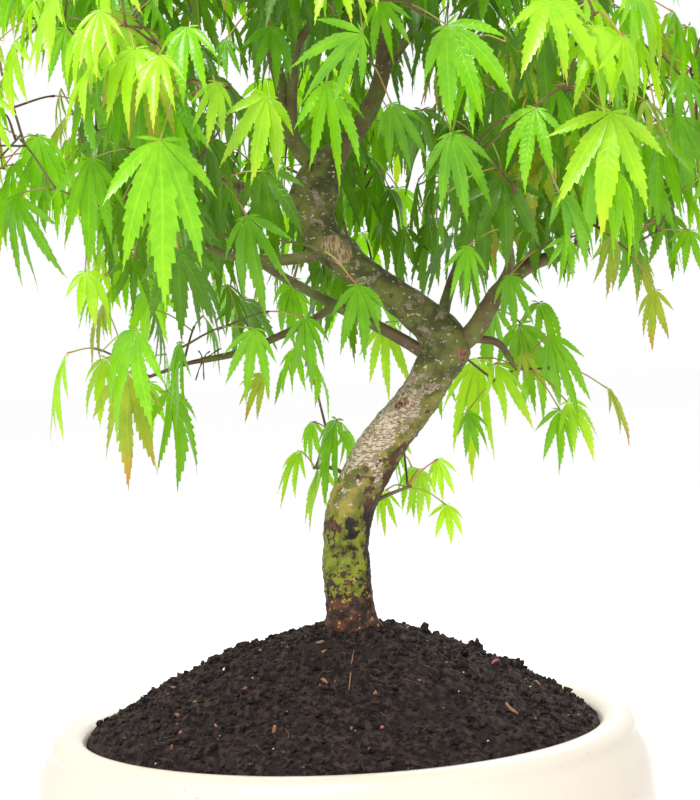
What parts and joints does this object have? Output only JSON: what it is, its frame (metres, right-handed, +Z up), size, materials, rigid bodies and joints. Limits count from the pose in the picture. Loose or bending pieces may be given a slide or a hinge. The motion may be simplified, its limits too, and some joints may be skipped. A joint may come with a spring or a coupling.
{
  "type": "potted japanese maple",
  "caption": "Small maple tree with a mossy S-shaped trunk and a round crown of lobed green leaves, growing from heaped dark soil in a squat cream bowl, for a patio or garden.",
  "frame": {"origin": "centre of the bowl's flat underside", "axes": "+Z up along the bowl's axis, -Y towards the viewer of the picture, +X to the viewer's right"},
  "size_m": [0.4152, 0.3833, 0.6622],
  "materials": {
    "pot_glaze": "satin",
    "soil": "matte",
    "bark": "matte",
    "foliage": "satin"
  },
  "bodies": {
    "root": {"pot": "pot_glaze", "soil": "soil", "trunk": "bark", "bough_back": "bark", "bough_back_left": "bark", "bough_back_right": "bark", "bough_front_left": "bark", "bough_front_right": "bark", "bough_left": "bark", "bough_low_left": "bark", "bough_low_right": "bark", "bough_right": "bark", "bough_shoulder_back": "bark", "bough_shoulder_front": "bark", "bough_shoulder_right": "bark", "leader_left": "bark", "leader_right": "bark", "leaves_back": "foliage", "leaves_back_left": "foliage", "leaves_back_right": "foliage", "leaves_front_left": "foliage", "leaves_front_right": "foliage", "leaves_left": "foliage", "leaves_low_left": "foliage", "leaves_low_right": "foliage", "leaves_right": "foliage", "leaves_shoot_left": "foliage", "leaves_shoot_right": "foliage", "leaves_shoulder_back": "foliage", "leaves_shoulder_front": "foliage", "leaves_shoulder_left": "foliage", "leaves_shoulder_right": "foliage", "leaves_top": "foliage"}
  },
  "joints": []
}
